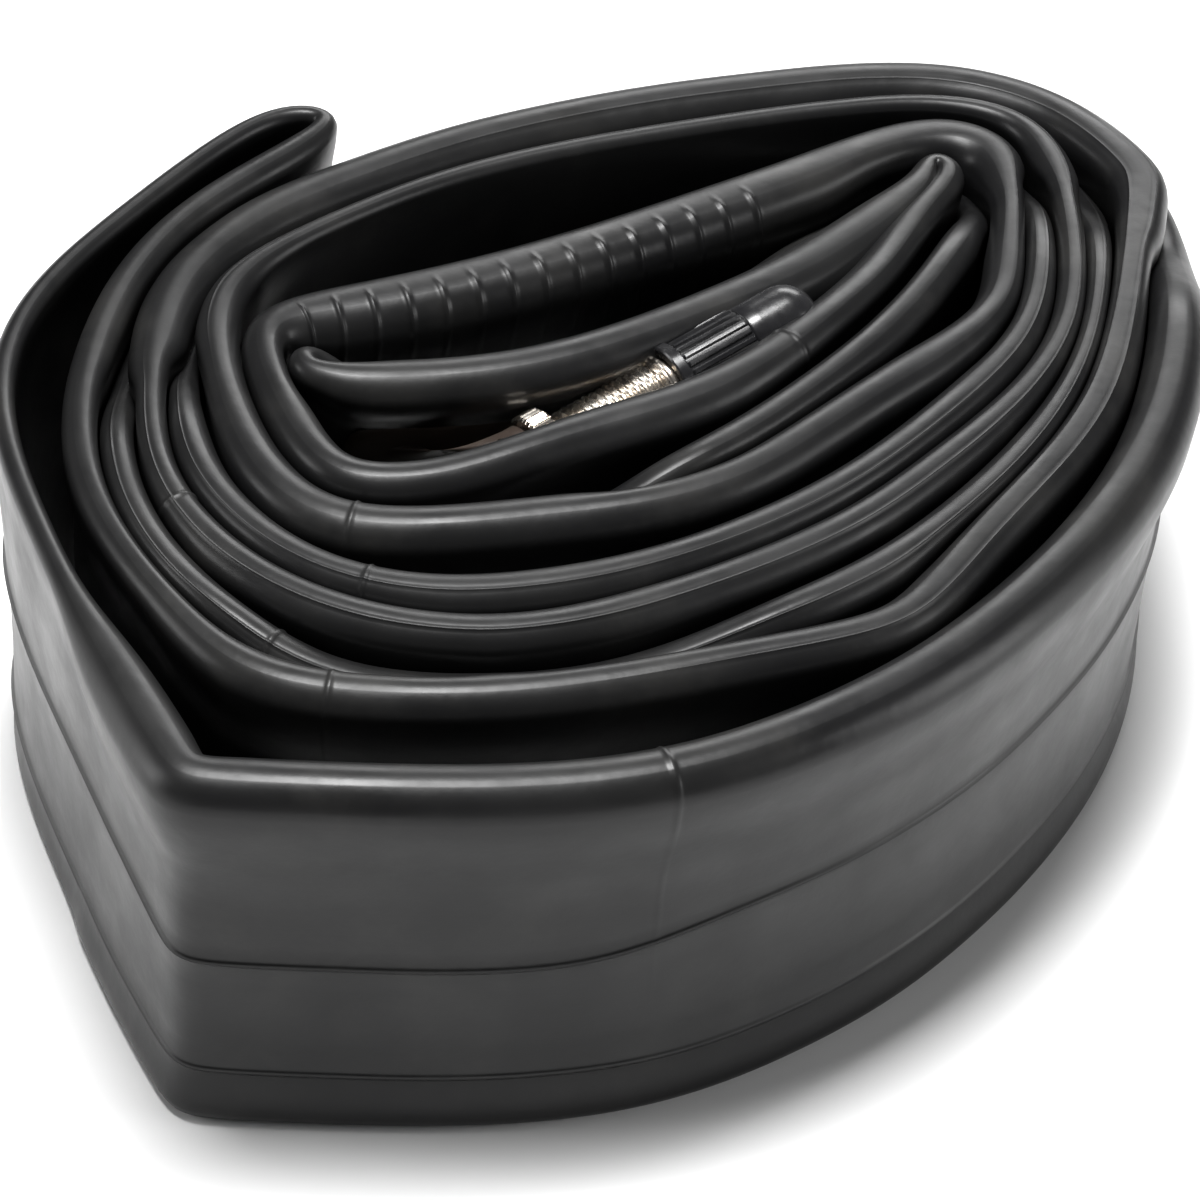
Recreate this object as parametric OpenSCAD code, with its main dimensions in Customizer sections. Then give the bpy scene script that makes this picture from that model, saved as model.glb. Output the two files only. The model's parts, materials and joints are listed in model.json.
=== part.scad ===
// Bicycle inner tube, let down, pressed flat, folded into a double strip and rolled up.
// The roll stands on edge. Origin: middle of the roll's footprint, on the ground. +Z is up.

/* [Tube] */
// Width of the tube when it is pressed flat, which is the height of the roll
flat_w = 43.5; // [43:0.25:46]
// Thickness of the rubber wall
wall = 0.75; // [0.6:0.05:0.8]
// Air left between the two pressed walls
air_gap = 0.3; // [0.1:0.05:0.4]
// Height of the stretches that are tucked down between their neighbours
tucked_h = 38; // [36:0.5:40]

/* [Valve] */
// Outer diameter of the threaded valve stem
stem_d = 6; // [5.8:0.1:6.2]
// Length of the stem from its rubber foot to the bottom of the dust cap
stem_len = 18.5; // [18:0.25:19]
// Diameter of the stem's narrow top, which the dust cap screws on to
neck_d = 5.2; // [5:0.1:5.2]
// Outer diameter of the knurled lock ring
ring_d = 8.8; // [8.4:0.1:8.8]
// Thickness of the lock ring
ring_h = 2.4; // [1.8:0.1:2.6]
// Length of the dust cap
cap_len = 17.1; // [17:0.1:17.6]
// Diameter of the dust cap's plain dome
cap_d = 6.9; // [6.8:0.1:7]
// Travel of the valve pin when it is pressed in
pin_travel = 1.8; // [1:0.1:1.8]

/* [Hidden] */
$fn = 48;

BLACK_RUBBER = [0.06, 0.06, 0.065];
BROWN_RUBBER = [0.16, 0.12, 0.10];
NICKEL = [0.72, 0.70, 0.66];
BRASS = [0.78, 0.62, 0.32];
BLACK_PLASTIC = [0.02, 0.02, 0.022];

// Route of the flattened tube seen from above. It is one closed loop: the outer strand of the double
// strip from the loose outer end of the roll in to the middle, then the inner strand back out again.
OUTER_STRAND = [
    [-30, 39], [-35, 38.5], [-41, 30.5], [-47, 20], [-52.5, 10], [-55.5, 0.5],
    [-55.5, -9.5], [-52.5, -19.5], [-48.5, -28.5], [-44.5, -37], [-40.5, -45.5], [-34.4, -56.4],
    [-32.8, -58.4], [-30, -58.7], [-17, -58], [-7, -57], [3, -55], [13, -51],
    [23, -44], [32, -36], [40.5, -25], [47.5, -13.5], [52.5, -1.5], [55, 10.5],
    [55.5, 21.5], [55.5, 32.5], [55, 42], [50.8, 50.9], [43, 56.9], [31.5, 58.9],
    [21, 57], [11, 54], [1, 50.5], [-9, 46], [-19, 40], [-28, 33.5],
    [-36.3, 25.9], [-42, 17], [-45.4, 7], [-45.5, -3.5], [-45, -13.5], [-43, -23],
    [-38, -32], [-32, -38], [-23, -42], [-13, -42.5], [-3, -41], [7, -37],
    [17, -32], [26, -25], [33.5, -16], [40, -6], [45, 5.5], [47.5, 17.5],
    [48, 29.5], [47.5, 40], [44.8, 49.3], [38.5, 52.5], [29, 52.5], [19, 50.3],
    [9, 46.5], [-1, 42.5], [-11, 38], [-20, 32.5], [-28.5, 25.8], [-35.2, 18.3],
    [-39.8, 11.5], [-40.5, 1.5], [-39.5, -8.5], [-37.5, -17.5], [-32, -25.5], [-24, -31.5],
    [-14, -33], [-4, -30.7], [6, -26.5], [16, -19.5], [25, -11], [33, 0],
    [39.5, 10], [42, 20.5], [42, 32.5], [41.4, 41.3], [38, 46.8], [32, 48.2],
    [25, 46.8], [17, 42.5], [9, 36], [1, 30], [-9, 23], [-19, 17],
    [-27, 13], [-33.5, 10.3], [-35.5, 4.5], [-34.5, -3.5], [-30.5, -12.5], [-27, -19.5],
    [-19, -20.5], [-11, -18.5], [-2, -17], [6, -13.5], [13, -7], [19, 0.5],
    [25, 9], [30.5, 19], [34.5, 29.5], [36.5, 37.5], [35.5, 43], [31.5, 43],
    [27, 39.5], [22.5, 35], [18, 29.5], [13.5, 23.5], [8, 17], [1, 11],
    [-7, 5.5], [-15, 1.8], [-23, 0.5], [-28.5, 1.2]
];
INNER_STRAND = [
    [-29.2, -2.5], [-24, -2.9], [-15, -1.3], [-6.8, 2.4], [1.8, 7.8], [9.5, 14],
    [15.5, 20.5], [21, 27], [26, 33.5], [28.8, 37.7], [31.4, 40.8], [33.6, 37.9],
    [30.5, 30], [27.8, 21.3], [22.1, 11.5], [15, 3.3], [7.7, -3.4], [-0.3, -7.9],
    [-7.3, -12.4], [-14.6, -16.5], [-22.5, -18], [-26.5, -14.5], [-29.5, -8.5], [-32, -2.5],
    [-33.5, 4], [-29, 7.2], [-21, 10.4], [-11, 15.7], [-1, 22.2], [9, 29.5],
    [18, 36], [26, 42.5], [32.5, 45.8], [38, 44], [39.3, 36.5], [39, 26.5],
    [38.5, 17.5], [34.5, 11], [27.5, 4], [19.5, -5.5], [13, -13], [4, -18],
    [-5, -20.5], [-15, -23.5], [-24, -24], [-30.3, -18.9], [-34.8, -9.7], [-37.8, 0.5],
    [-38, 9.5], [-33.2, 16.2], [-26, 23.2], [-18, 30], [-8, 35.8], [2, 40.3],
    [12, 44.5], [21, 47.8], [29, 50.2], [37, 50.3], [42.7, 46.3], [44.8, 35.5],
    [45.5, 24.5], [44.7, 13.5], [40, 2.5], [32.5, -7.5], [25, -17.5], [16, -25],
    [7, -31], [-2, -36], [-12, -38.2], [-23, -36.3], [-32, -31], [-39, -22.5],
    [-42, -13.5], [-43, -3.5], [-42.8, 7], [-40.5, 14.5], [-34.8, 23.3], [-26, 30.5],
    [-17, 37.5], [-6, 43.5], [4, 48], [14, 51.5], [24, 54.8], [34.8, 56],
    [45, 51.9], [51.4, 43.1], [52.6, 39.7], [52.2, 36.1], [50, 18.5], [47, 2],
    [40.5, -10], [35, -19], [30, -30], [24, -34], [15, -37.3], [6, -41],
    [-4, -44.5], [-14, -46.3], [-24, -46.5], [-31, -44], [-37.5, -36.5], [-43.5, -28],
    [-47.5, -18.5], [-49, -8.5], [-48.5, 1.5], [-47, 10.5], [-43.5, 19.5], [-38, 27.5],
    [-32, 34.5]
];
route = concat(OUTER_STRAND, INNER_STRAND);

// The route is a smooth curve that these points pull on. A place on it is a number: the whole part
// counts the points, and the rest runs from 0 to 1 on the way to the next one.
STEPS = 3;

function pulled(a, b, c, d, t) =
    (a * pow(1 - t, 3) + b * (3 * t * t * t - 6 * t * t + 4)
     + c * (-3 * t * t * t + 3 * t * t + 3 * t + 1) + d * t * t * t) / 6;
function heading(a, b, c, d, t) =
    (-a * pow(1 - t, 2) + b * (3 * t * t - 4 * t) + c * (-3 * t * t + 2 * t + 1) + d * t * t) / 2;
function point(i) = route[(i + len(route)) % len(route)];
function place(u) = let (i = floor(u)) pulled(point(i - 1), point(i), point(i + 1), point(i + 2), u - i);
function way(u) =
    let (i = floor(u), w = heading(point(i - 1), point(i), point(i + 1), point(i + 2), u - i)) w / norm(w);
function left(u) = let (w = way(u)) [-w[1], w[0]];
function beside(u, off) = place(u) + off * left(u);
function places(from, to) = [for (k = [0 : round((to - from) * STEPS)]) from + k / STEPS];
function reversed(list) = [for (k = [len(list) - 1 : -1 : 0]) list[k]];

// Outline of one stretch, from off_a to off_b beside the route
module stretch(from, to, off_a, off_b) {
    us = places(from, to);
    polygon(concat([for (u = us) beside(u, off_a)], [for (u = reversed(us)) beside(u, off_b)]));
}

// Stretches of the outer strand that lie lower than their neighbours, behind and left of the middle
TUCKED = [[25, 39], [55, 67], [81, 98], [105, 116]];
strip_half = wall + air_gap / 2;
cut_half = strip_half + 0.35;
half_step = 0.5 / STEPS;

// Everything above a height over the tucked stretches of one turn, and over extra more of the route
module over_tucked(from, to, height, extra = 0) {
    for (t = TUCKED)
        if (t[0] >= from && t[1] <= to)
            translate([0, 0, height])
                linear_extrude(flat_w) stretch(t[0] - extra, t[1] + extra, cut_half, -cut_half);
}

// The air chamber between the walls, a wall's thickness inside both folds. It runs on through the ends.
module chamber(from, to) {
    difference() {
        translate([0, 0, wall])
            linear_extrude(flat_w - 2 * wall) stretch(from, to + 2 * half_step, air_gap / 2, -air_gap / 2);
        over_tucked(from, to, tucked_h - wall, half_step);
    }
}

// The tube is one moulded ring. It is cut into one node for each turn of each strand, and each node
// meets the next one face to face, so that the hollows of the roll stay open. The corners of a turn's
// outline lie half a step away from those of its chamber and its cuts, so that no two edges coincide.
module turn(from, to) {
    color(BLACK_RUBBER) difference() {
        linear_extrude(flat_w) stretch(from + half_step, to + half_step, strip_half, -strip_half);
        over_tucked(from, to, tucked_h);
        chamber(from, to);
    }
}

// Places where the turns begin, from the outside in and back out
module outer_turn_1() { turn(0, 42); }
module outer_turn_2() { turn(42, 69); }
module outer_turn_3() { turn(69, 99); }
module outer_turn_4() { turn(99, 118); }
module inner_turn_4() { turn(118, 139); }
module inner_turn_3() { turn(139, 164); }
module inner_turn_2() { turn(164, 190); }
module inner_turn_1() { turn(190, len(route)); }

// Valve axis: it lies in the pocket in the middle of the roll. Its zero is the bottom of the dust cap.
CAP_BASE = [5.95, 4.4, 39];
TURN = 38;
TILT = 10.5;

module on_axis(along = 0) {
    translate(CAP_BASE) rotate([0, 90 - TILT, TURN]) translate([0, 0, along]) children();
}

fit = 0.05;
cap_seat = 0.4;
neck_top = 5.5;
seat_d = 3.8;
seat_depth = 14;
air_d = 2.2;
flange_d = stem_d + 1;
flange_h = 1.2;

// Rubber foot: a round pad on the wall behind the valve, and a fairing that holds the stem's flange
PAD_PLACE = 120.3;
PAD_FROM = 118 + half_step;
PAD_TO = 122 + half_step;
pad_d = 25;
pad_t = 0.7;
pad_z = 25;
FAIRING_PLACE = 119.3;
fairing_foot_d = 7;
fairing_foot_z = 29;
fairing_d = 7.8;
fairing_h = 2.4;

// A disc that faces the wall at a place on the route, centred on the pad's front
module facing_disc(u, diameter, thickness, z) {
    spot = beside(u, -strip_half - pad_t);
    facing = left(u);
    translate([spot[0], spot[1], z])
        rotate([0, 0, atan2(facing[1], facing[0])])
            rotate([0, 90, 0]) translate([0, 0, -thickness / 2]) cylinder(d = diameter, h = thickness);
}

module valve_foot() {
    color(BROWN_RUBBER) difference() {
        union() {
            intersection() {
                linear_extrude(flat_w)
                    stretch(PAD_FROM, PAD_TO, -strip_half, -strip_half - pad_t);
                facing_disc(PAD_PLACE, pad_d, 12, pad_z);
            }
            hull() {
                facing_disc(FAIRING_PLACE, fairing_foot_d, 0.6, fairing_foot_z);
                on_axis(-stem_len) cylinder(d = fairing_d, h = fairing_h);
            }
        }
        on_axis(-stem_len) stem_outside();
        on_axis(-stem_len - 4) cylinder(d = air_d, h = 5);
    }
}

// Outside of the stem from its flange up, with the flange's bottom at zero
module stem_outside() {
    cylinder(d = flange_d, h = flange_h);
    cylinder(d = stem_d, h = stem_len - cap_seat);
    cylinder(d = neck_d, h = stem_len + neck_top);
}

module valve_stem() {
    color(NICKEL) difference() {
        on_axis(-stem_len) stem_outside();
        on_axis(-stem_len - 1) cylinder(d = air_d, h = stem_len);
        on_axis(-seat_depth) cylinder(d = seat_d, h = seat_depth + neck_top + 1);
    }
}

RING_AT = -15.8;
ring_bevel = 0.35;

module lock_ring() {
    color(NICKEL) on_axis(RING_AT) difference() {
        union() {
            cylinder(d1 = ring_d - 2 * ring_bevel, d2 = ring_d, h = ring_bevel);
            translate([0, 0, ring_bevel]) cylinder(d = ring_d, h = ring_h - 2 * ring_bevel);
            translate([0, 0, ring_h - ring_bevel])
                cylinder(d1 = ring_d, d2 = ring_d - 2 * ring_bevel, h = ring_bevel);
        }
        translate([0, 0, -1]) cylinder(d = stem_d + 2 * fit, h = ring_h + 2);
    }
}

// Valve core: a brass plug pressed into the stem's neck, with two flats on its head for a spanner
core_bottom = -9.5;
waist_top = -7.8;
waist_d = 2.6;
head_d = 4.6;
head_h = 1.5;
across_flats = 4;
pin_d = 1.7;
pin_hole_d = pin_d + 2 * fit;

module valve_core() {
    color(BRASS) on_axis() difference() {
        union() {
            translate([0, 0, core_bottom]) cylinder(d = waist_d, h = waist_top - core_bottom);
            translate([0, 0, waist_top]) cylinder(d = seat_d, h = neck_top - waist_top);
            intersection() {
                translate([0, 0, neck_top]) cylinder(d = head_d, h = head_h);
                translate([-head_d, -across_flats / 2, neck_top]) cube([2 * head_d, across_flats, head_h]);
            }
        }
        translate([0, 0, core_bottom - 1]) cylinder(d = pin_hole_d, h = neck_top + head_h - core_bottom + 2);
    }
}

gasket_h = 1.3;

module core_gasket() {
    color(BLACK_RUBBER) on_axis(waist_top - gasket_h) difference() {
        cylinder(d = seat_d, h = gasket_h);
        translate([0, 0, -1]) cylinder(d = waist_d, h = gasket_h + 2);
    }
}

// The pin slides through the core. Its seal closes the core's lower end.
seal_d = 3;
seal_h = 1.5;
pin_foot_h = 0.4;
pin_top = cap_len - 3.7;
seal_gap = 0.02;

module core_pin() {
    foot = core_bottom - seal_gap - seal_h - pin_foot_h;
    color(BRASS) {
        on_axis(foot) cylinder(d = pin_d, h = pin_top - foot);
        on_axis(foot) cylinder(d = seal_d - 0.4, h = pin_foot_h);
    }
}

module pin_seal() {
    color(BLACK_RUBBER) on_axis(core_bottom - seal_gap - seal_h) difference() {
        cylinder(d = seal_d, h = seal_h);
        translate([0, 0, -1]) cylinder(d = pin_d, h = seal_h + 2);
    }
}

// The thumb nut is backed off the core's head by the pin's travel
nut_d = 4.1;
nut_h = 3.6;
nut_at = neck_top + head_h + pin_travel + 0.1;

module thumb_nut() {
    color(BRASS) on_axis(nut_at) difference() {
        cylinder(d = nut_d, h = nut_h);
        translate([0, 0, -1]) cylinder(d = pin_hole_d, h = nut_h + 2);
    }
}

// Dust cap: a thin flange, a ribbed grip and a plain dome with a round end
brim_d = 7.7;
brim_h = 1.2;
grip_end = 8.9;
grip_d = 6.7;
RIBS = 24;
rib_d = 0.5;
rib_end = grip_end - 0.2;
cap_bore_d = 5.3;
cap_bore_end = cap_len - 2.7;

module cap_outside() {
    cylinder(d = brim_d, h = brim_h);
    cylinder(d = grip_d, h = grip_end);
    for (k = [0 : RIBS - 1])
        rotate([0, 0, k * 360 / RIBS])
            translate([grip_d / 2, 0, brim_h / 2]) cylinder(d = rib_d, h = rib_end - brim_h / 2, $fn = 8);
    translate([0, 0, grip_end]) cylinder(d = cap_d, h = cap_len - grip_end - cap_d / 2);
    translate([0, 0, cap_len - cap_d / 2]) sphere(d = cap_d);
}

module dust_cap() {
    color(BLACK_PLASTIC) on_axis() difference() {
        cap_outside();
        translate([0, 0, -1]) cylinder(d = cap_bore_d, h = cap_bore_end + 1);
    }
}

outer_turn_1();
outer_turn_2();
outer_turn_3();
outer_turn_4();
inner_turn_4();
inner_turn_3();
inner_turn_2();
inner_turn_1();
valve_foot();
valve_stem();
lock_ring();
valve_core();
core_gasket();
core_pin();
pin_seal();
thumb_nut();
dust_cap();
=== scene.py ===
import json
import math

import bpy
import numpy as np
from mathutils import Matrix, Vector


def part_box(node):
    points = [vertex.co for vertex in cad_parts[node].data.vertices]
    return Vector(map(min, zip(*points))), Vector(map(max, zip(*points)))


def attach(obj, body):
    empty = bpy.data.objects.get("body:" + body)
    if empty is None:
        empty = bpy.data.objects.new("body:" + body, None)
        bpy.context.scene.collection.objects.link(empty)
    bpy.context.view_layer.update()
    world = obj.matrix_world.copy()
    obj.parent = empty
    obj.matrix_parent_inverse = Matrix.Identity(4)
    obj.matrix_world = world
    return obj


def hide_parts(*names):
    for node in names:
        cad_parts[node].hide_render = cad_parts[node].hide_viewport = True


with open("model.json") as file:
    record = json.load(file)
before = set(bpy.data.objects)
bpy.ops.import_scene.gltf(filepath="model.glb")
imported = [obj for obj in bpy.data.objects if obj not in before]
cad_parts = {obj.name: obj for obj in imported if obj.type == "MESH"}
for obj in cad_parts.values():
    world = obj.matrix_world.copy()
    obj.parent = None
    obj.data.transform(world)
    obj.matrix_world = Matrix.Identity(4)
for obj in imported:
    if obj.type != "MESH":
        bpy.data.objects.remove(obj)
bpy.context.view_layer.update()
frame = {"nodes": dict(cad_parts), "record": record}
MM = 0.001

# ---------------------------------------------------------------------------------------------
# The route of the flattened tube seen from above, in millimetres: the outer strand of the double
# strip from the loose end of the roll in to the middle, then the inner strand back out again.
# ---------------------------------------------------------------------------------------------
OUTER_STRAND = [
    (-30, 39), (-35, 38.5), (-41, 30.5), (-47, 20), (-52.5, 10), (-55.5, 0.5),
    (-55.5, -9.5), (-52.5, -19.5), (-48.5, -28.5), (-44.5, -37), (-40.5, -45.5), (-34.4, -56.4),
    (-32.8, -58.4), (-30, -58.7), (-17, -58), (-7, -57), (3, -55), (13, -51),
    (23, -44), (32, -36), (40.5, -25), (47.5, -13.5), (52.5, -1.5), (55, 10.5),
    (55.5, 21.5), (55.5, 32.5), (55, 42), (50.8, 50.9), (43, 56.9), (31.5, 58.9),
    (21, 57), (11, 54), (1, 50.5), (-9, 46), (-19, 40), (-28, 33.5),
    (-36.3, 25.9), (-42, 17), (-45.4, 7), (-45.5, -3.5), (-45, -13.5), (-43, -23),
    (-38, -32), (-32, -38), (-23, -42), (-13, -42.5), (-3, -41), (7, -37),
    (17, -32), (26, -25), (33.5, -16), (40, -6), (45, 5.5), (47.5, 17.5),
    (48, 29.5), (47.5, 40), (44.8, 49.3), (38.5, 52.5), (29, 52.5), (19, 50.3),
    (9, 46.5), (-1, 42.5), (-11, 38), (-20, 32.5), (-28.5, 25.8), (-35.2, 18.3),
    (-39.8, 11.5), (-40.5, 1.5), (-39.5, -8.5), (-37.5, -17.5), (-32, -25.5), (-24, -31.5),
    (-14, -33), (-4, -30.7), (6, -26.5), (16, -19.5), (25, -11), (33, 0),
    (39.5, 10), (42, 20.5), (42, 32.5), (41.4, 41.3), (38, 46.8), (32, 48.2),
    (25, 46.8), (17, 42.5), (9, 36), (1, 30), (-9, 23), (-19, 17),
    (-27, 13), (-33.5, 10.3), (-35.5, 4.5), (-34.5, -3.5), (-30.5, -12.5), (-27, -19.5),
    (-19, -20.5), (-11, -18.5), (-2, -17), (6, -13.5), (13, -7), (19, 0.5),
    (25, 9), (30.5, 19), (34.5, 29.5), (36.5, 37.5), (35.5, 43), (31.5, 43),
    (27, 39.5), (22.5, 35), (18, 29.5), (13.5, 23.5), (8, 17), (1, 11),
    (-7, 5.5), (-15, 1.8), (-23, 0.5), (-28.5, 1.2),
]
INNER_STRAND = [
    (-29.2, -2.5), (-24, -2.9), (-15, -1.3), (-6.8, 2.4), (1.8, 7.8), (9.5, 14),
    (15.5, 20.5), (21, 27), (26, 33.5), (28.8, 37.7), (31.4, 40.8), (33.6, 37.9),
    (30.5, 30), (27.8, 21.3), (22.1, 11.5), (15, 3.3), (7.7, -3.4), (-0.3, -7.9),
    (-7.3, -12.4), (-14.6, -16.5), (-22.5, -18), (-26.5, -14.5), (-29.5, -8.5), (-32, -2.5),
    (-33.5, 4), (-29, 7.2), (-21, 10.4), (-11, 15.7), (-1, 22.2), (9, 29.5),
    (18, 36), (26, 42.5), (32.5, 45.8), (38, 44), (39.3, 36.5), (39, 26.5),
    (38.5, 17.5), (34.5, 11), (27.5, 4), (19.5, -5.5), (13, -13), (4, -18),
    (-5, -20.5), (-15, -23.5), (-24, -24), (-30.3, -18.9), (-34.8, -9.7), (-37.8, 0.5),
    (-38, 9.5), (-33.2, 16.2), (-26, 23.2), (-18, 30), (-8, 35.8), (2, 40.3),
    (12, 44.5), (21, 47.8), (29, 50.2), (37, 50.3), (42.7, 46.3), (44.8, 35.5),
    (45.5, 24.5), (44.7, 13.5), (40, 2.5), (32.5, -7.5), (25, -17.5), (16, -25),
    (7, -31), (-2, -36), (-12, -38.2), (-23, -36.3), (-32, -31), (-39, -22.5),
    (-42, -13.5), (-43, -3.5), (-42.8, 7), (-40.5, 14.5), (-34.8, 23.3), (-26, 30.5),
    (-17, 37.5), (-6, 43.5), (4, 48), (14, 51.5), (24, 54.8), (34.8, 56),
    (45, 51.9), (51.4, 43.1), (52.6, 39.7), (52.2, 36.1), (50, 18.5), (47, 2),
    (40.5, -10), (35, -19), (30, -30), (24, -34), (15, -37.3), (6, -41),
    (-4, -44.5), (-14, -46.3), (-24, -46.5), (-31, -44), (-37.5, -36.5), (-43.5, -28),
    (-47.5, -18.5), (-49, -8.5), (-48.5, 1.5), (-47, 10.5), (-43.5, 19.5), (-38, 27.5),
    (-32, 34.5),
]
ROUTE = np.array(OUTER_STRAND + INNER_STRAND) * MM

# The tube is one piece, which the CAD cuts into a node for each turn of each strand
TURNS = [f"{strand}_turn_{k}" for strand in ("outer", "inner") for k in (1, 2, 3, 4)]
TUBE_LOW, TUBE_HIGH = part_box(TURNS[0])
FLAT_W = TUBE_HIGH.z - TUBE_LOW.z
WALL_HALF = 0.95 * MM
TUCKED_TOP = 38 * MM
TUCKED = ((25, 39), (55, 67), (81, 98), (105, 116))


# A place on the route is a number: its whole part counts the points above, from 0.
def pulled(values, u):
    """The smooth closed curve that the values pull on, at the places u."""
    i = np.floor(u).astype(int)
    t = u - i
    n = len(values)
    a, b, c, d = (values[(i + k) % n] for k in (-1, 0, 1, 2))
    if values.ndim > 1:
        t = t[:, None]
    near = b * (3 * t**3 - 6 * t**2 + 4) + c * (-3 * t**3 + 3 * t**2 + 3 * t + 1)
    return (a * (1 - t) ** 3 + near + d * t**3) / 6


def heading(u):
    step = 0.01
    w = pulled(ROUTE, u + step) - pulled(ROUTE, u - step)
    return w / np.linalg.norm(w, axis=1)[:, None]


def along(default, *spans):
    """A value for each point of the route: the default, or that of the last (from, to, value) it is in."""
    values = np.full(len(ROUTE), float(default))
    for start, end, value in spans:
        values[start : end + 1] = value
    return values


# ---------------------------------------------------------------------------------------------
# Meshes
# ---------------------------------------------------------------------------------------------
def mesh_object(name, points, quads, uvs, material, body, replaces=(), sharp=None):
    """A piece made of quads, or triangles where a quad's last corner is -1, with one UV for each corner."""
    points = np.asarray(points, float)
    quads = np.asarray(quads, int)
    sizes = np.where(quads[:, 3] < 0, 3, 4)
    used = quads >= 0
    loops = quads[used]
    me = bpy.data.meshes.new(name)
    me.vertices.add(len(points))
    me.vertices.foreach_set("co", points.ravel())
    me.loops.add(len(loops))
    me.loops.foreach_set("vertex_index", loops)
    me.polygons.add(len(quads))
    me.polygons.foreach_set("loop_start", np.concatenate([[0], np.cumsum(sizes)[:-1]]))
    me.polygons.foreach_set("use_smooth", np.ones(len(quads), bool))
    layer = me.uv_layers.new(name="surface")
    layer.data.foreach_set("uv", np.asarray(uvs, float)[used].ravel())
    me.update(calc_edges=True)
    me.validate()
    corner = [points[np.where(quads < 0, quads[:, :1], quads)[:, k]] for k in range(4)]
    normals = np.cross(corner[2] - corner[0], corner[3] - corner[1])
    if np.einsum("ij,ij", corner[0], normals) < 0:
        me.flip_normals()
    if sharp is not None:
        me.set_sharp_from_angle(angle=math.radians(sharp))
    me.materials.append(material)
    piece = bpy.data.objects.new(name, me)
    bpy.context.scene.collection.objects.link(piece)
    if replaces:
        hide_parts(*replaces)
    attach(piece, body)
    return piece


def grid_quads(rows, columns, close_rows=True, close_columns=True):
    """Corner numbers of the quads of a grid of points, and the row and column of each corner."""
    i = np.arange(rows if close_rows else rows - 1)
    j = np.arange(columns if close_columns else columns - 1)
    i, j = (g.ravel() for g in np.meshgrid(i, j, indexing="ij"))
    row = np.stack([i, i + 1, i + 1, i], axis=1)
    column = np.stack([j, j, j + 1, j + 1], axis=1)
    return (row % rows) * columns + column % columns, row, column


def fan_quads(first, count, centre, outwards):
    """Triangles from a ring of count points, numbered from first, to the point numbered centre."""
    j = np.arange(count)
    here, after = first + j, first + (j + 1) % count
    start, end = (here, after) if outwards else (after, here)
    return np.stack([start, end, np.full(count, centre), np.full(count, -1)], axis=1)


# ---------------------------------------------------------------------------------------------
# The tube
# ---------------------------------------------------------------------------------------------
# Height of the top fold, and how far the top leans to the left of the way along the route
TOP = along(
    FLAT_W,
    *[(a, b, TUCKED_TOP) for a, b in TUCKED],
    (44, 47, FLAT_W - 3 * MM),
    (132, 136, FLAT_W + 0.7 * MM),
)
LEAN = along(0, (1, 9, -1.2), (121, 123, -0.8), (124, 127, -2.0), (130, 132, -1.2), (133, 135, -0.3)) * MM
# Half the width that each top fold swells to where nothing is in its way, and how square it is
SWELL = along(
    2.4, (0, 9, 1.2), (10, 25, 3.2), (118, 123, 2.9), (124, 127, 3.6), (130, 135, 2.9), (143, 151, 3.6),
    (155, 163, 2.9), (167, 175, 1.1), (181, 187, 2.5), (192, 202, 3.3), (203, 209, 3.0), (212, 217, 2.7),
    (218, 226, 1.9)
) * MM
SQUARE = along(0, (144, 150, 0.3), (203, 209, 0.35))
# How far down the swelling reaches, against the usual
REACH = along(1, (117, 126, 0.45))
# Half-width of the bottom folds
BOTTOM_SWELL = 1.7 * MM
# Thin moulded ridges that run along the top fold, to the right and the left of its crown
RIDGE_RIGHT = along(0.05, (40, 55, 1.0), (68, 80, 0.6), (196, 206, 0.6)) * 0.12 * MM
RIDGE_LEFT = along(0.05, (166, 190, 1.0), (203, 212, 0.9)) * 0.12 * MM
RIDGE_ANGLE = 24
# A crisp fold line where the right-hand side of the top fold ends
FOLD_RIDGE = along(0, (143, 156, 1)) * 0.2 * MM
# Heights of the two mould lines on the right-hand face
LINE_LOW = along(6.5) * MM
LINE_HIGH = along(23.5, (11, 16, 20.5)) * MM
FACE_LINE_RISE = 0.35 * MM
# Raised cross ribs on the strand behind the valve
RIBS = (142.7, 147.6)
RIB_PITCH = 3.5 * MM
RIB_RISE = 0.26 * MM
RIB_WIDTH = 0.24 * MM
# Faint marks across the strip, where the mould's parts met
CROSS_MARKS = (16.5, 43.5, 71.4, 132.6, 161.8, 188.9, 215.8)
MARK_RISE = 0.14 * MM
MARK_WIDTH = 0.22 * MM


def stations():
    """Places along the route where the strip has a cross-section, closer together at fine detail."""
    coarse = np.arange(0, len(ROUTE), 1 / 8)
    fine = [np.arange(RIBS[0] - 0.05, RIBS[1] + 0.05, 1 / 48)]
    fine += [np.arange(u - 0.12, u + 0.12, 1 / 48) for u in CROSS_MARKS]
    fine = np.concatenate(fine)
    keep = [u for u in coarse if np.abs(fine - u).min() > 1 / 20]
    return np.sort(np.concatenate([keep, fine]))


def blurred(values, distance, length, reach):
    """Values along the closed loop, averaged over about reach either way."""
    gap = np.abs(distance[:, None] - distance[None, :])
    gap = np.minimum(gap, length - gap)
    weight = np.exp(-((gap / reach) ** 2)) * np.gradient(distance)[None, :]
    return (weight @ values) / weight.sum(axis=1)


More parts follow.
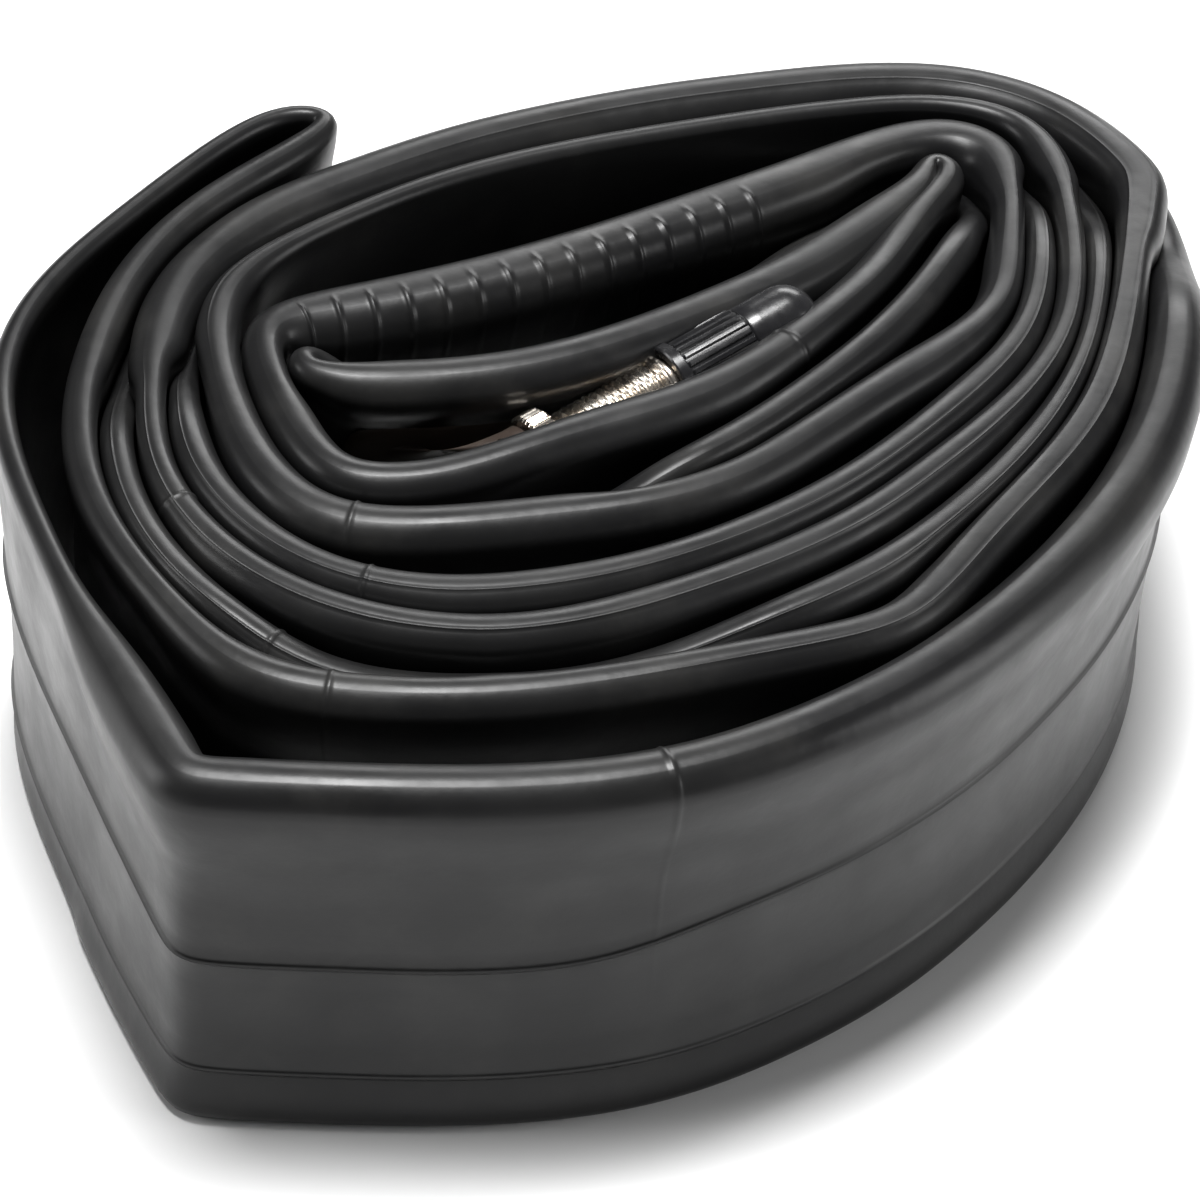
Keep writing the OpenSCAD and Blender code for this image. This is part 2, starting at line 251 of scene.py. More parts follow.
def room_beside(wanted, places, lefts, tops, distance, length):
    """Room for the top fold on the left and on the right: its share of the gap to the nearest strand."""
    gap = np.abs(distance[:, None] - distance[None, :])
    other = np.minimum(gap, length - gap) > 9 * MM
    dx = places[None, :, 0] - places[:, None, 0]
    dy = places[None, :, 1] - places[:, None, 1]
    to_left = dx * lefts[:, None, 0] + dy * lefts[:, None, 1]
    ahead = -dx * lefts[:, None, 1] + dy * lefts[:, None, 0]
    other &= np.abs(ahead) < 1.3 * MM
    lower = tops[:, None] - tops[None, :] > 3 * MM
    higher = tops[None, :] - tops[:, None] > 3 * MM
    share = wanted[:, None] / (wanted[:, None] + wanted[None, :])
    rooms = []
    for side in (to_left, -to_left):
        reach = np.where(other & (side > 0) & ~lower, side, 1.0)
        reach = np.where(higher, reach - 1.25 * MM, reach * share)
        rooms.append(reach.min(axis=1) - 0.03 * MM)
    return rooms


def swell_on_each_side(u, places, lefts, tops, distance, length):
    """Half-widths of the top fold, as wide as it wants to be or as its neighbours and its bends let it."""
    wanted = pulled(SWELL, u)
    ways = np.stack([lefts[:, 1], -lefts[:, 0]], axis=1)
    turning = np.gradient(np.unwrap(np.arctan2(ways[:, 1], ways[:, 0]))) / np.gradient(distance)
    turning = blurred(turning, distance, length, 1.0 * MM)
    out = []
    for side, room in zip((1, -1), room_beside(wanted, places, lefts, tops, distance, length)):
        bend = 0.8 / np.maximum(side * turning, 1e-6)
        limit = np.minimum(room, bend)
        nearest = np.abs(distance[:, None] - distance[None, :]) < 2.5 * MM
        limit = np.where(nearest, limit[None, :], 1.0).min(axis=1)
        half = np.clip(np.minimum(wanted, limit), WALL_HALF, None)
        out.append(blurred(half, distance, length, 2.2 * MM))
    return out


def bump(x, width):
    return np.exp(-((x / width) ** 2))


def waves(a, b, seed):
    """Slow, uneven waves of about unit height over two coordinates in metres."""
    draw = np.random.default_rng(seed)
    total = 0
    for size in (0.019, 0.031, 0.047, 0.083):
        slant, phase = draw.uniform(-0.5, 0.5), draw.uniform(0, 2 * math.pi)
        total = total + np.sin(2 * math.pi * (a + slant * b) / size + phase) * draw.uniform(0.6, 1)
    return total / 3


def tube_points(u):
    places = pulled(ROUTE, u)
    steps = np.linalg.norm(np.roll(places, -1, axis=0) - places, axis=1)
    distance = np.concatenate([[0], np.cumsum(steps)[:-1]])
    length = steps.sum()
    way = heading(u)
    lefts = np.stack([-way[:, 1], way[:, 0]], axis=1)
    top = pulled(TOP, u)
    square = pulled(SQUARE, u)
    swell_left, swell_right = swell_on_each_side(u, places, lefts, top, distance, length)
    bottom_left = np.minimum(swell_left, BOTTOM_SWELL)
    bottom_right = np.minimum(swell_right, BOTTOM_SWELL)

    in_ribs = (u > RIBS[0]) & (u < RIBS[1])
    rib_zero = distance[np.searchsorted(u, RIBS[0])]
    off_rib = np.mod(distance - rib_zero + RIB_PITCH / 2, RIB_PITCH) - RIB_PITCH / 2
    ribs = np.where(in_ribs, bump(off_rib, RIB_WIDTH), 0) * RIB_RISE
    marks = sum(bump(distance - np.interp(m, u, distance), MARK_WIDTH) for m in CROSS_MARKS) * MARK_RISE
    belly = waves(distance, 0, 3)

    rows = []

    def add(off, z, rise, side=0, up=0.0):
        """One row of points: off to the left and z up, raised by rise along side (1 left) and up."""
        rows.append((off + side * rise, z + up * rise))

    def cap_angles():
        ridge = [RIDGE_ANGLE - 3, RIDGE_ANGLE - 1.2, RIDGE_ANGLE, RIDGE_ANGLE + 1.2, RIDGE_ANGLE + 3]
        right = [9, 15, *ridge, 34, 45, 57, 70, 80, 90]
        return [-a for a in reversed(right)] + [0] + right

    def side_rows(side, swell, bottom_swell, going_down):
        """Rows of one face, from below the top fold to above the bottom fold."""
        taper = (3.5 * MM + 4 * (swell - WALL_HALF)) * pulled(REACH, u)
        high = top - swell
        low_taper = 2.5 * MM + 2.5 * (bottom_swell - WALL_HALF)
        low = bottom_swell + low_taper
        made = []
        for t in (0.2, 0.4, 0.6, 0.8, 1.0):
            half = WALL_HALF + (swell - WALL_HALF) * (0.5 + 0.5 * math.cos(math.pi * t))
            made.append((half, high - taper * t))
        start = high - taper
        if side < 0:
            lines = (pulled(LINE_LOW, u), pulled(LINE_HIGH, u))
            line_low, line_high = (np.clip(z, low + 0.7 * MM, start - 0.7 * MM) for z in lines)
            for share in (0.25, 0.5, 0.75):
                made.append((WALL_HALF, start + (line_high + 0.6 * MM - start) * share))
            for line, last in ((line_high, line_low + 0.6 * MM), (line_low, low)):
                for off in (0.55, 0.25, 0.0, -0.25, -0.55):
                    made.append((WALL_HALF + FACE_LINE_RISE * bump(off, 0.24), line + off * MM))
                for share in (0.2, 0.4, 0.6, 0.8):
                    made.append((WALL_HALF, line - 0.55 * MM + (last - line + 0.55 * MM) * share))
        else:
            for share in (0.17, 0.34, 0.5, 0.67, 0.84):
                made.append((WALL_HALF, start + (low - start) * share))
        for t in (0.0, 0.25, 0.5, 0.75):
            half = WALL_HALF + (bottom_swell - WALL_HALF) * (0.5 - 0.5 * math.cos(math.pi * t))
            made.append((half, low - low_taper * t))
        for half, z in made if going_down else reversed(made):
            depth = (top - z) / FLAT_W
            rise = marks * np.clip(1 - 1.4 * depth, 0, 1)
            if side < 0:
                rise = rise + ribs * np.clip(0.45 - 1.2 * depth, 0, 1)
            swollen = belly * 0.10 * MM * np.clip(4 * depth * (1 - depth), 0, 1)
            add(side * (half + swollen), z, rise, side=side)

    # The right-hand face is the roll's outside on the outer strand
    power = 1 - 0.55 * square
    side_rows(1, swell_left, bottom_left, going_down=False)
    for angle in cap_angles():
        side = 1 if angle < 0 else -1
        swell = swell_left if angle < 0 else swell_right
        s, c = abs(math.sin(math.radians(angle))), math.cos(math.radians(angle))
        ridge = RIDGE_LEFT if angle < 0 else RIDGE_RIGHT
        rise = pulled(ridge, u) * bump(abs(angle) - RIDGE_ANGLE, 1.8) + marks
        if angle > 0:
            rise = rise + ribs * min(1, angle / 12) + pulled(FOLD_RIDGE, u) * bump(angle - 90, 7)
        add(side * swell * s**power, top - swell + swell * max(c, 1e-9) ** power, rise, side=side * s, up=c)
    side_rows(-1, swell_right, bottom_right, going_down=True)
    for angle in (90, 72, 54, 36, 18, 0, -18, -36, -54, -72, -90):
        side = 1 if angle < 0 else -1
        half = bottom_left if angle < 0 else bottom_right
        s, c = abs(math.sin(math.radians(angle))), math.cos(math.radians(angle))
        add(side * half * s, half * (1 - c), 0)

    off = np.stack([r[0] for r in rows], axis=1)
    z = np.stack([r[1] for r in rows], axis=1)
    blend = np.clip((z - 0.3 * FLAT_W) / (0.7 * FLAT_W), 0, 1)
    off = off + pulled(LEAN, u)[:, None] * blend**2 * (3 - 2 * blend)
    points = np.empty((*off.shape, 3))
    points[..., :2] = places[:, None, :] + off[..., None] * lefts[:, None, :]
    points[..., 2] = TUBE_LOW.z + np.clip(z, 0, None)
    return points, distance, length


def make_tube(material):
    u = stations()
    points, distance, length = tube_points(u)
    count, rows = points.shape[:2]
    quads, station, row = grid_quads(count, rows)
    around = np.linalg.norm(np.roll(points, -1, axis=1) - points, axis=2).mean(axis=0)
    around = np.concatenate([[0], np.cumsum(around)])
    uv = np.stack([np.append(distance, length)[station], around[row]], axis=-1)
    return mesh_object("tube", points.reshape(-1, 3), quads, uv, material, "tube",
                       replaces=TURNS)


# ---------------------------------------------------------------------------------------------
# The valve: turned pieces on the axis that the joints give
# ---------------------------------------------------------------------------------------------
CAP_JOINT = next(j for j in frame["record"]["behaviour"]["joints"] if j["name"] == "cap_turn")
AXIS = Vector(CAP_JOINT["axis"])
TURN = math.atan2(AXIS.y, AXIS.x)
TILT = math.asin(AXIS.z)
ON_AXIS = (
    Matrix.Translation(CAP_JOINT["pos_m"])
    @ Matrix.Rotation(TURN, 4, "Z")
    @ Matrix.Rotation(math.pi / 2 - TILT, 4, "Y")
)


def turned(name, profile, material, body, replaces, segments=64, shape=None, sharp=32):
    """A turned piece. The profile is a closed list of (radius, height) in millimetres, and shape may
    change the radius by angle and height. Radius 0 is a point on the axis."""
    profile = np.array(profile, float) * MM
    angles = np.arange(segments) * 2 * math.pi / segments
    radius = np.repeat(profile[:, :1], segments, axis=1)
    height = np.repeat(profile[:, 1:], segments, axis=1)
    if shape:
        radius = shape(radius, height, np.repeat(angles[None, :], len(profile), axis=0))
    points = np.stack([radius * np.cos(angles), radius * np.sin(angles), height], axis=-1)
    quads, row, column = grid_quads(len(profile), segments)
    steps = np.linalg.norm(np.diff(profile, axis=0, append=profile[:1]), axis=1)
    around = np.concatenate([[0], np.cumsum(steps)])
    uv = np.stack([column * 2 * math.pi / segments * 3 * MM, around[row]], axis=-1)
    on_axis = profile[:, 0] < 1e-7
    flat = on_axis[row % len(profile)]
    keep = ~(flat[:, 0] & flat[:, 1])
    quads, uv, flat = quads[keep], uv[keep], flat[keep]
    # A quad that touches the axis becomes a triangle whose tip is the first corner of the axis row
    quads = np.where(flat, (quads // segments) * segments, quads)
    starts, ends = flat[:, 0], flat[:, 1]
    for corners in (quads, uv):
        corners[ends, 2] = corners[ends, 3]
    quads[starts | ends, 3] = -1
    points = points.reshape(-1, 3)
    used = np.zeros(len(points), bool)
    used[quads[quads >= 0]] = True
    number = np.cumsum(used) - 1
    quads = np.where(quads >= 0, number[quads], -1)
    matrix = np.array(ON_AXIS)
    points = points[used] @ matrix[:3, :3].T + matrix[:3, 3]
    return mesh_object(name, points, quads, uv, material, body, replaces, sharp)


# Heights along the valve axis and radii, in millimetres, as the CAD has them
STEM_R = 3.0
STEM_BOTTOM = -18.5
STEM_FLANGE_R = 3.5
STEM_FLANGE_TOP = -17.3
STEM_SHOULDER = -0.4
NECK_R = 2.6
NECK_TOP = 5.5
SEAT_R = 1.9
SEAT_BOTTOM = -14.0
AIR_R = 1.1
THREAD_PITCH = 0.8
THREAD_DEPTH = 0.42
RING_LOW = -15.8
RING_HIGH = -13.4
RING_R = 4.4
RING_BORE_R = 3.05
CAP_LENGTH = 17.1
CAP_R = 3.45
BRIM_R = 3.85
BRIM_H = 1.2
GRIP_R = 3.3
GRIP_END = 8.9
CAP_BORE_R = 2.65
CAP_BORE_END = 14.4
CAP_RIBS = 24
NUT_LOW = 8.9
NUT_HIGH = 12.5
NUT_R = 2.05
PIN_HOLE_R = 0.9


def thread(radius, height, angle):
    """Cuts the 0.8 mm thread into the stem's outside."""
    turn = np.mod(height / (THREAD_PITCH * MM) - angle / (2 * math.pi), 1)
    groove = np.abs(2 * turn - 1) ** 1.3
    low, high = (STEM_FLANGE_TOP + 0.5) * MM, (STEM_SHOULDER - 0.3) * MM
    fade = np.clip(np.minimum(height - low, high - height) / (0.4 * MM), 0, 1)
    outside = (np.abs(radius - STEM_R * MM) < 0.01 * MM) & (fade > 0)
    return np.where(outside, radius - THREAD_DEPTH * MM * (1 - groove) * fade, radius)


def make_stem(material):
    rows = np.arange(STEM_FLANGE_TOP, STEM_SHOULDER, 0.08)
    profile = [(AIR_R, STEM_BOTTOM), (STEM_FLANGE_R, STEM_BOTTOM), (STEM_FLANGE_R, STEM_FLANGE_TOP)]
    profile += [(STEM_R, z) for z in rows]
    profile += [(STEM_R - 0.1, STEM_SHOULDER), (NECK_R, STEM_SHOULDER), (NECK_R, NECK_TOP - 0.3)]
    profile += [(NECK_R - 0.3, NECK_TOP), (SEAT_R, NECK_TOP), (SEAT_R, SEAT_BOTTOM), (AIR_R, SEAT_BOTTOM)]
    return turned("stem", profile, material, "tube", ("valve_stem",), 64, thread, sharp=50)


def knurled(count, depth, outer_r):
    def shape(radius, height, angle):
        outside = radius > (outer_r - 0.05) * MM
        return np.where(outside, radius - depth * MM * (0.5 + 0.5 * np.cos(count * angle)), radius)
    return shape


def bevelled_ring(bore_r, outer_r, low, high, bevel):
    profile = [(bore_r + 0.15, low), (outer_r - bevel, low), (outer_r, low + bevel)]
    profile += [(outer_r, low + bevel + (high - low - 2 * bevel) * share) for share in (0.05, 0.5, 0.95, 1)]
    profile += [(outer_r - bevel, high), (bore_r + 0.15, high), (bore_r, high - 0.15), (bore_r, low + 0.15)]
    return profile


def make_lock_ring(material):
    profile = bevelled_ring(RING_BORE_R, RING_R, RING_LOW, RING_HIGH, 0.3)
    knurls = knurled(40, 0.16, RING_R)
    return turned("ring", profile, material, "ring", ("lock_ring",), 240, knurls)


def make_thumb_nut(material):
    profile = bevelled_ring(PIN_HOLE_R, NUT_R, NUT_LOW, NUT_HIGH, 0.25)
    knurls = knurled(24, 0.14, NUT_R)
    return turned("nut", profile, material, "nut", ("thumb_nut",), 144, knurls)


def grip_ribs(radius, height, angle):
    """Raises the dust cap's ribs between its brim and its dome."""
    low, high = (BRIM_H + 0.1) * MM, (GRIP_END - 0.05) * MM
    fade = np.clip(np.minimum(height - low, high - height) / (0.25 * MM), 0, 1) ** 0.5
    rib = np.clip(0.5 + 1.1 * np.cos(CAP_RIBS * angle), 0, 1)
    return np.where(np.abs(radius - GRIP_R * MM) < 0.01 * MM, radius + 0.3 * MM * rib * fade, radius)


def make_dust_cap(material):
    dome = [math.radians(a) for a in range(0, 90, 6)]
    centre = CAP_LENGTH - CAP_R
    profile = [(0, CAP_LENGTH)]
    profile += [(CAP_R * math.cos(a), centre + CAP_R * math.sin(a)) for a in reversed(dome)]
    profile += [(CAP_R, z) for z in (centre - 1.5, GRIP_END + 1.5, GRIP_END + 0.2)]
    profile += [(CAP_R - 0.08, GRIP_END + 0.05)]
    grip = [GRIP_END, GRIP_END - 0.06, GRIP_END - 0.12, GRIP_END - 0.2, GRIP_END - 0.3, GRIP_END - 1.5]
    grip += [3.5, BRIM_H + 0.35, BRIM_H + 0.25, BRIM_H + 0.15, BRIM_H + 0.1]
    profile += [(GRIP_R, z) for z in grip]
    profile += [(GRIP_R + 0.1, BRIM_H + 0.02), (BRIM_R - 0.1, BRIM_H)]
    profile += [(BRIM_R, BRIM_H - 0.12), (BRIM_R, 0.15)]
    profile += [(BRIM_R - 0.15, 0), (CAP_BORE_R + 0.2, 0), (CAP_BORE_R, 0.25), (CAP_BORE_R, CAP_BORE_END)]
    profile += [(0, CAP_BORE_END)]
    return turned("cap", profile, material, "cap", ("dust_cap",), CAP_RIBS * 12, grip_ribs)


# Rubber foot: a pad on the wall behind the valve and a fairing up to the stem
PAD_AT = 120.05
PAD_LENGTH = 21 * MM
PAD_LOW = 13 * MM
PAD_HIGH = 37.4 * MM
PAD_RISE = 0.6 * MM
FAIRING_AT = 119.5
FAIRING_Z = 30 * MM
FAIRING_FOOT_R = 5.0 * MM
FAIRING_TOP = -16.15 * MM
FAIRING_TOP_R = 3.8 * MM


def on_wall(along_wall, z, off, near=PAD_AT):
    """Points off the right-hand face of the strip, along_wall from the pad's middle and at the height z."""
    us = np.linspace(near - 2.5, near + 2.5, 400)
    route = pulled(ROUTE, us)
    reach = np.concatenate([[0], np.cumsum(np.linalg.norm(np.diff(route, axis=0), axis=1))])
    reach -= np.interp(near, us, reach)
    u = np.interp(along_wall.ravel(), reach, us)
    way = heading(u)
    lefts = np.stack([-way[:, 1], way[:, 0]], axis=1)
    xy = pulled(ROUTE, u) - (WALL_HALF + off.ravel())[:, None] * lefts
    return np.column_stack([xy, z.ravel()])


def make_foot(material):
    count, rings = 96, 16
    angle = np.arange(count) * 2 * math.pi / count
    power = 0.32
    across = np.sign(np.cos(angle)) * np.abs(np.cos(angle)) ** power
    up = np.sign(np.sin(angle)) * np.abs(np.sin(angle)) ** power
    share = np.concatenate([np.linspace(0.04, 0.93, rings - 5), [0.955, 0.975, 0.99, 1.0, 1.0]])
    rise = np.concatenate([np.full(rings - 5, 1.0), [0.97, 0.85, 0.6, 0.25, -0.4]]) * PAD_RISE
    x = share[:, None] * across[None, :] * PAD_LENGTH / 2
    z = (PAD_LOW + PAD_HIGH) / 2 + share[:, None] * up[None, :] * (PAD_HIGH - PAD_LOW) / 2
    front = on_wall(x, z, np.repeat(rise[:, None], count, axis=1)).reshape(rings, count, 3)
    middle = on_wall(np.zeros(1), np.full(1, (PAD_LOW + PAD_HIGH) / 2), np.full(1, PAD_RISE))
    behind = on_wall(np.zeros(1), np.full(1, (PAD_LOW + PAD_HIGH) / 2), np.full(1, -0.4 * MM))
    points = np.concatenate([front.reshape(-1, 3), middle, behind])
    quads = grid_quads(rings, count, close_rows=False)[0]
    centre_fan = fan_quads(0, count, rings * count, outwards=False)
    back_fan = fan_quads((rings - 1) * count, count, rings * count + 1, outwards=True)
    quads = np.concatenate([quads, centre_fan, back_fan])
    flat = np.stack([x.ravel(), z.ravel()], axis=1)
    flat = np.concatenate([flat, [[0, 0], [0, 0]]])
    uvs = flat[np.where(quads < 0, 0, quads)]
    mesh_object("foot_pad", points, quads, uvs, material, "tube", ("valve_foot",))

    count, rings = 64, 14
    angle = np.arange(count) * 2 * math.pi / count
    foot = on_wall(FAIRING_FOOT_R * np.cos(angle), FAIRING_Z + FAIRING_FOOT_R * np.sin(angle),
                   np.full(count, 0.3 * MM), near=FAIRING_AT)
    matrix = np.array(ON_AXIS)
    ring = np.stack([np.cos(angle), np.sin(angle), np.zeros(count)], axis=1)

    def on_stem(radius, height):
        local = ring * radius + np.array([0, 0, height])
        return local @ matrix[:3, :3].T + matrix[:3, 3]

    collar = on_stem(FAIRING_TOP_R, FAIRING_TOP - 1.2 * MM)
    best = min(range(count), key=lambda k: np.linalg.norm(np.roll(collar, k, axis=0) - foot))
    flipped = collar[::-1]
    best_flipped = min(range(count), key=lambda k: np.linalg.norm(np.roll(flipped, k, axis=0) - foot))
    straight = np.roll(collar, best, axis=0)
    turned_over = np.roll(flipped, best_flipped, axis=0)
    over = np.linalg.norm(turned_over - foot) < np.linalg.norm(straight - foot)

    def matched(loop):
        return np.roll(loop[::-1], best_flipped, axis=0) if over else np.roll(loop, best, axis=0)

    centre = foot.mean(axis=0)
    loops = []
    for k in range(rings):
        t = k / (rings - 1)
        waist = 1 - 0.25 * math.sin(math.pi * t)
        loop = foot * (1 - t) + matched(collar) * t
        middle = loop.mean(axis=0)
        loops.append(middle + (loop - middle) * waist)
    loops.append(matched(on_stem(FAIRING_TOP_R, FAIRING_TOP - 0.2 * MM)))
    loops.append(matched(on_stem(FAIRING_TOP_R - 0.2 * MM, FAIRING_TOP)))
    loops.append(matched(on_stem((STEM_R - 0.3) * MM, FAIRING_TOP)))
    loops.append(matched(on_stem((STEM_R - 0.3) * MM, FAIRING_TOP - 1.2 * MM)))
    points = np.concatenate(loops)
    points = np.concatenate([points, [centre]])
    quads = grid_quads(len(loops), count, close_rows=False)[0]
    foot_fan = fan_quads(0, count, len(points) - 1, outwards=False)
    inner_fan = fan_quads((len(loops) - 1) * count, count, len(points), outwards=True)
    points = np.concatenate([points, [loops[-1].mean(axis=0)]])
    quads = np.concatenate([quads, foot_fan, inner_fan])
    uvs = np.stack([points[:, 0] + points[:, 1], points[:, 2]], axis=1)[np.where(quads < 0, 0, quads)]
    mesh_object("foot_fairing", points, quads, uvs, material, "tube", ("valve_foot",))


# ---------------------------------------------------------------------------------------------
# Materials
# ---------------------------------------------------------------------------------------------
class Shader:
    """A material whose nodes are added one after another."""

    def __init__(self, name, **constants):
        self.material = bpy.data.materials.new(name)
        self.material.use_nodes = True
        self.nodes = self.material.node_tree.nodes
        self.links = self.material.node_tree.links
        self.surface = self.nodes["Principled BSDF"]
        for socket, value in constants.items():
            self.surface.inputs[socket.replace("_", " ")].default_value = value
        self.height = None

    def add(self, kind, **settings):
        node = self.nodes.new(kind)
        for key, value in settings.items():
            setattr(node, key, value)
        return node

    def feed(self, source, target):
        self.links.new(source, target)

    def place(self, stretch=(1, 1, 1), surface=False):
        """Object coordinates in metres, or the coordinates along and across the surface, stretched."""
        coordinates = self.add("ShaderNodeTexCoord")
        mapping = self.add("ShaderNodeMapping")
        mapping.inputs["Scale"].default_value = stretch
        self.feed(coordinates.outputs["UV" if surface else "Object"], mapping.inputs["Vector"])
        return mapping.outputs["Vector"]

    def noise(self, scale, detail=3.0, roughness=0.55, stretch=(1, 1, 1), surface=False):
        node = self.add("ShaderNodeTexNoise")
        node.inputs["Scale"].default_value = scale
        node.inputs["Detail"].default_value = detail
        node.inputs["Roughness"].default_value = roughness
        self.feed(self.place(stretch, surface), node.inputs["Vector"])
        return node.outputs["Fac"]

    def spread(self, value, low, high, to_low, to_high):
        node = self.add("ShaderNodeMapRange")
        sockets = ("From Min", "From Max", "To Min", "To Max")
        for socket, number in zip(sockets, (low, high, to_low, to_high)):
            node.inputs[socket].default_value = number
        self.feed(value, node.inputs["Value"])
        return node.outputs["Result"]

    def mix(self, share, first, second):
        node = self.add("ShaderNodeMix", data_type="RGBA")
        self.feed(share, node.inputs["Factor"])
        for socket, colour in ((node.inputs["A"], first), (node.inputs["B"], second)):
            if isinstance(colour, tuple):
                socket.default_value = (*colour, 1)
            else:
                self.feed(colour, socket)
        return node.outputs["Result"]

    def bump(self, height, strength, distance):
        node = self.add("ShaderNodeBump")
        node.inputs["Strength"].default_value = strength
        node.inputs["Distance"].default_value = distance
        self.feed(height, node.inputs["Height"])
        if self.height is not None:
            self.feed(self.height, node.inputs["Normal"])
        self.height = node.outputs["Normal"]

    def finish(self, colour=None, roughness=None):
        if colour is not None:
            self.feed(colour, self.surface.inputs["Base Color"])
        if roughness is not None:
            self.feed(roughness, self.surface.inputs["Roughness"])
        if self.height is not None:
            self.feed(self.height, self.surface.inputs["Normal"])
        return self.material


def rubber_material(name, dark, light, dust, rough=(0.3, 0.44)):
    """Moulded rubber: uneven tone, rubbed-in dusting powder, fine grain and scuffs along the strip."""
    m = Shader(name, IOR=1.36)
    tone = m.mix(m.spread(m.noise(38, 4), 0.35, 0.65, 0, 1), dark, light)
    smudge = m.spread(m.noise(75, 6, 0.65), 0.52, 0.72, 0, 0.32)
    colour = m.mix(smudge, tone, dust)
    scuffs = m.noise(1, 4, 0.6, (55, 1500, 1), surface=True)
    grain = m.noise(2600, 2)
    m.bump(m.noise(160, 3), 0.25, 0.35 * MM)
    m.bump(grain, 0.12, 0.05 * MM)
    m.bump(scuffs, 0.10, 0.06 * MM)
    patches = m.noise(110, 5, 0.6)
    return m.finish(colour, m.spread(patches, 0.3, 0.7, *rough))


def metal_material(name, bright, dull, rough):
    m = Shader(name, Metallic=1.0)
    tarnish = m.spread(m.noise(420, 4, 0.6), 0.42, 0.7, 0, 1)
    m.bump(m.noise(1, 3, 0.5, (900, 12000, 1), surface=True), 0.08, 0.02 * MM)
    return m.finish(m.mix(tarnish, bright, dull), m.spread(m.noise(900, 3), 0.3, 0.7, *rough))


def cap_material():
    """Glossy moulded plastic with fine turning marks round the dome."""
    m = Shader("cap_plastic", IOR=1.5)
    rings = m.noise(1, 4, 0.7, (60, 9000, 1), surface=True)
    m.bump(rings, 0.16, 0.03 * MM)
    m.bump(m.noise(1500, 2), 0.05, 0.03 * MM)
    tone = m.mix(m.spread(m.noise(260, 4), 0.4, 0.7, 0, 1), (0.008, 0.008, 0.009), (0.016, 0.016, 0.017))
    return m.finish(tone, m.spread(m.noise(700, 4), 0.3, 0.7, 0.2, 0.32))


def floor_material():
    m = Shader("floor", IOR=1.3)
    tone = m.mix(m.spread(m.noise(9, 2), 0.3, 0.7, 0, 1), (0.86, 0.86, 0.86), (0.84, 0.84, 0.84))
    return m.finish(tone, m.spread(m.noise(30, 2), 0.3, 0.7, 0.55, 0.65))


# ---------------------------------------------------------------------------------------------
# Build
# ---------------------------------------------------------------------------------------------
butyl = rubber_material("butyl", (0.006, 0.006, 0.0064), (0.010, 0.010, 0.010), (0.03, 0.029, 0.027))
foot_rubber = rubber_material(
    "foot_rubber", (0.030, 0.022, 0.018), (0.045, 0.034, 0.028), (0.08, 0.065, 0.055), rough=(0.28, 0.4)
)
seal_rubber = rubber_material("seal_rubber", (0.012, 0.012, 0.012), (0.02, 0.02, 0.02), (0.03, 0.03, 0.03))
nickel = metal_material("nickel", (0.80, 0.75, 0.68), (0.55, 0.46, 0.36), (0.16, 0.3))
brass = metal_material("brass", (0.80, 0.60, 0.28), (0.55, 0.38, 0.16), (0.2, 0.34))

make_tube(butyl)
make_foot(foot_rubber)
make_stem(nickel)
make_lock_ring(nickel)
make_thumb_nut(brass)
make_dust_cap(cap_material())
INSIDE = {"valve_core": brass, "core_pin": brass, "core_gasket": seal_rubber, "pin_seal": seal_rubber}
for node, material in INSIDE.items():
    for slot in frame["nodes"][node].material_slots:
        slot.material = material


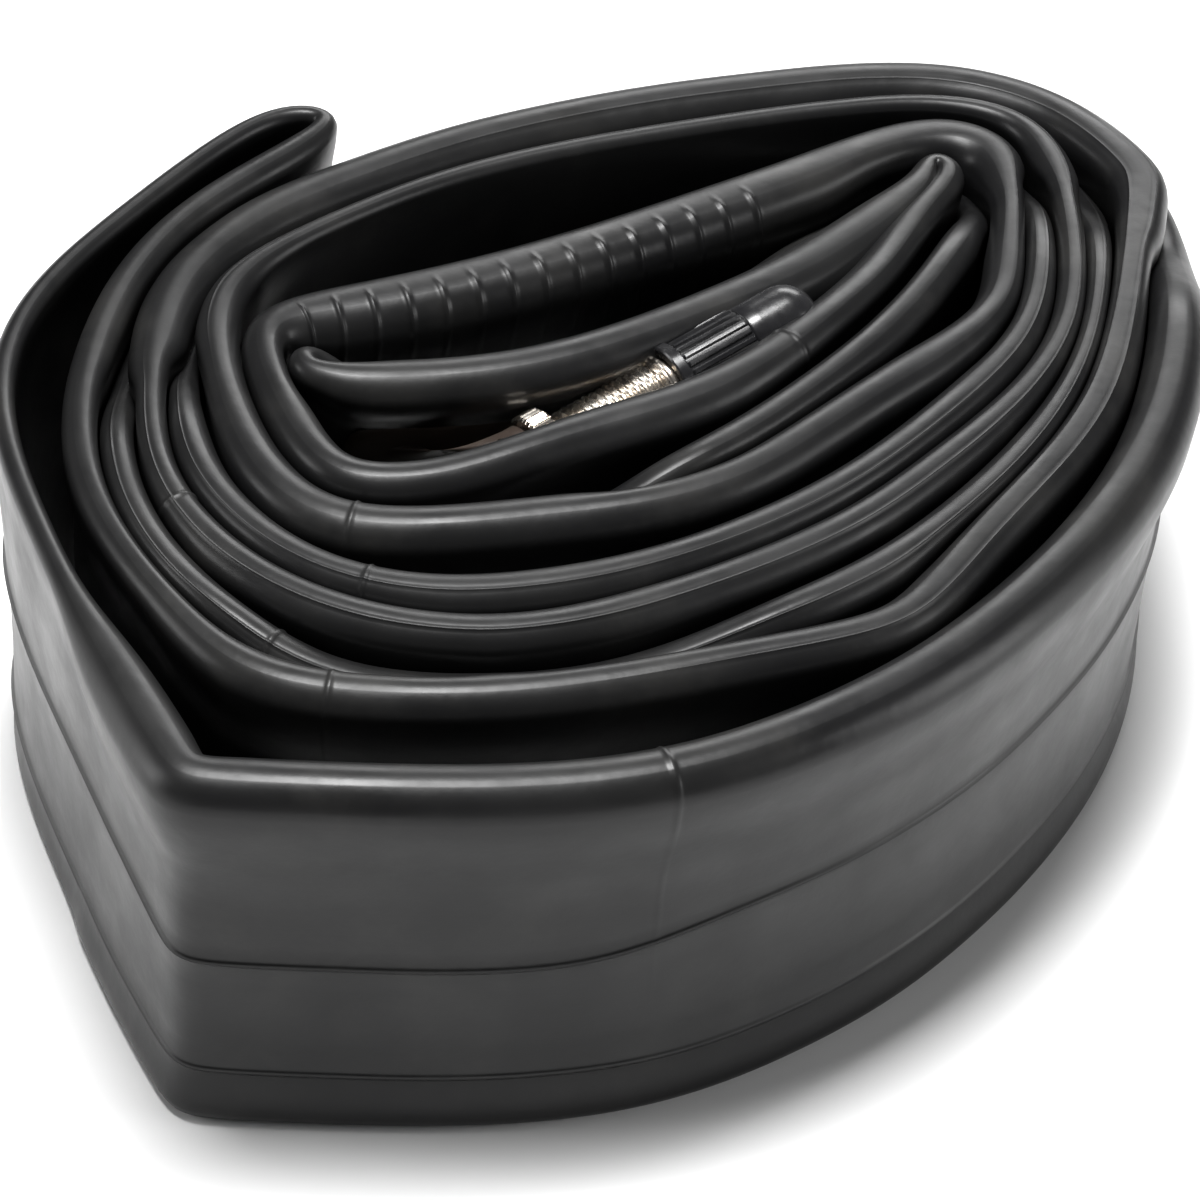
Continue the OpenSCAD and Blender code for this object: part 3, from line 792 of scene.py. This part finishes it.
# ---------------------------------------------------------------------------------------------
# Floor, lights and camera
# ---------------------------------------------------------------------------------------------
def make_floor():
    size = 3.0
    corners = [(-size, -size, 0), (size, -size, 0), (size, size, 0), (-size, size, 0)]
    me = bpy.data.meshes.new("floor")
    me.from_pydata(corners, [], [(0, 1, 2, 3)])
    me.materials.append(floor_material())
    floor = bpy.data.objects.new("floor", me)
    floor.location.z = TUBE_LOW.z - 0.02 * MM
    bpy.context.scene.collection.objects.link(floor)


def area_light(name, at, target, size, watts):
    data = bpy.data.lights.new(name, "AREA")
    data.shape = "RECTANGLE"
    data.size, data.size_y = size
    data.energy = watts
    light = bpy.data.objects.new(name, data)
    light.location = at
    light.rotation_euler = (Vector(target) - Vector(at)).to_track_quat("-Z", "Y").to_euler()
    bpy.context.scene.collection.objects.link(light)


def make_world():
    world = bpy.data.worlds.new("studio")
    world.use_nodes = True
    world.node_tree.nodes["Background"].inputs["Color"].default_value = (1, 1, 1, 1)
    world.node_tree.nodes["Background"].inputs["Strength"].default_value = 0.09
    bpy.context.scene.world = world


# The camera looks at a point over the middle of the roll
LOOK_AT = Vector((1 * MM, -8.5 * MM, 22 * MM))
CAMERA_DISTANCE = 418.2 * MM
CAMERA_ELEVATION = math.radians(41)
CAMERA_ROLL = math.radians(4.68)
CAMERA_LENS = 129.9


def make_camera():
    data = bpy.data.cameras.new("camera")
    data.lens = CAMERA_LENS
    data.clip_start, data.clip_end = 0.01, 20
    camera = bpy.data.objects.new("camera", data)
    back = Vector((0, -math.cos(CAMERA_ELEVATION), math.sin(CAMERA_ELEVATION)))
    facing = (-back).to_track_quat("-Z", "Y").to_matrix().to_4x4()
    camera.matrix_world = (
        Matrix.Translation(LOOK_AT + back * CAMERA_DISTANCE) @ facing @ Matrix.Rotation(CAMERA_ROLL, 4, "Z")
    )
    bpy.context.scene.collection.objects.link(camera)
    bpy.context.scene.camera = camera


make_floor()
make_world()
area_light("top", (-0.05, 0.05, 0.8), (0, 0, 0.02), (0.34, 0.2), 12)
area_light("back", (0.1, 0.75, 0.4), (0, 0, 0.02), (0.5, 0.25), 3)
area_light("left", (-0.8, -0.05, 0.2), (0, 0, 0.02), (0.3, 0.5), 3)
area_light("right", (0.8, -0.1, 0.2), (0, 0, 0.02), (0.3, 0.5), 3)
make_camera()
bpy.context.scene.view_settings.view_transform = "Standard"
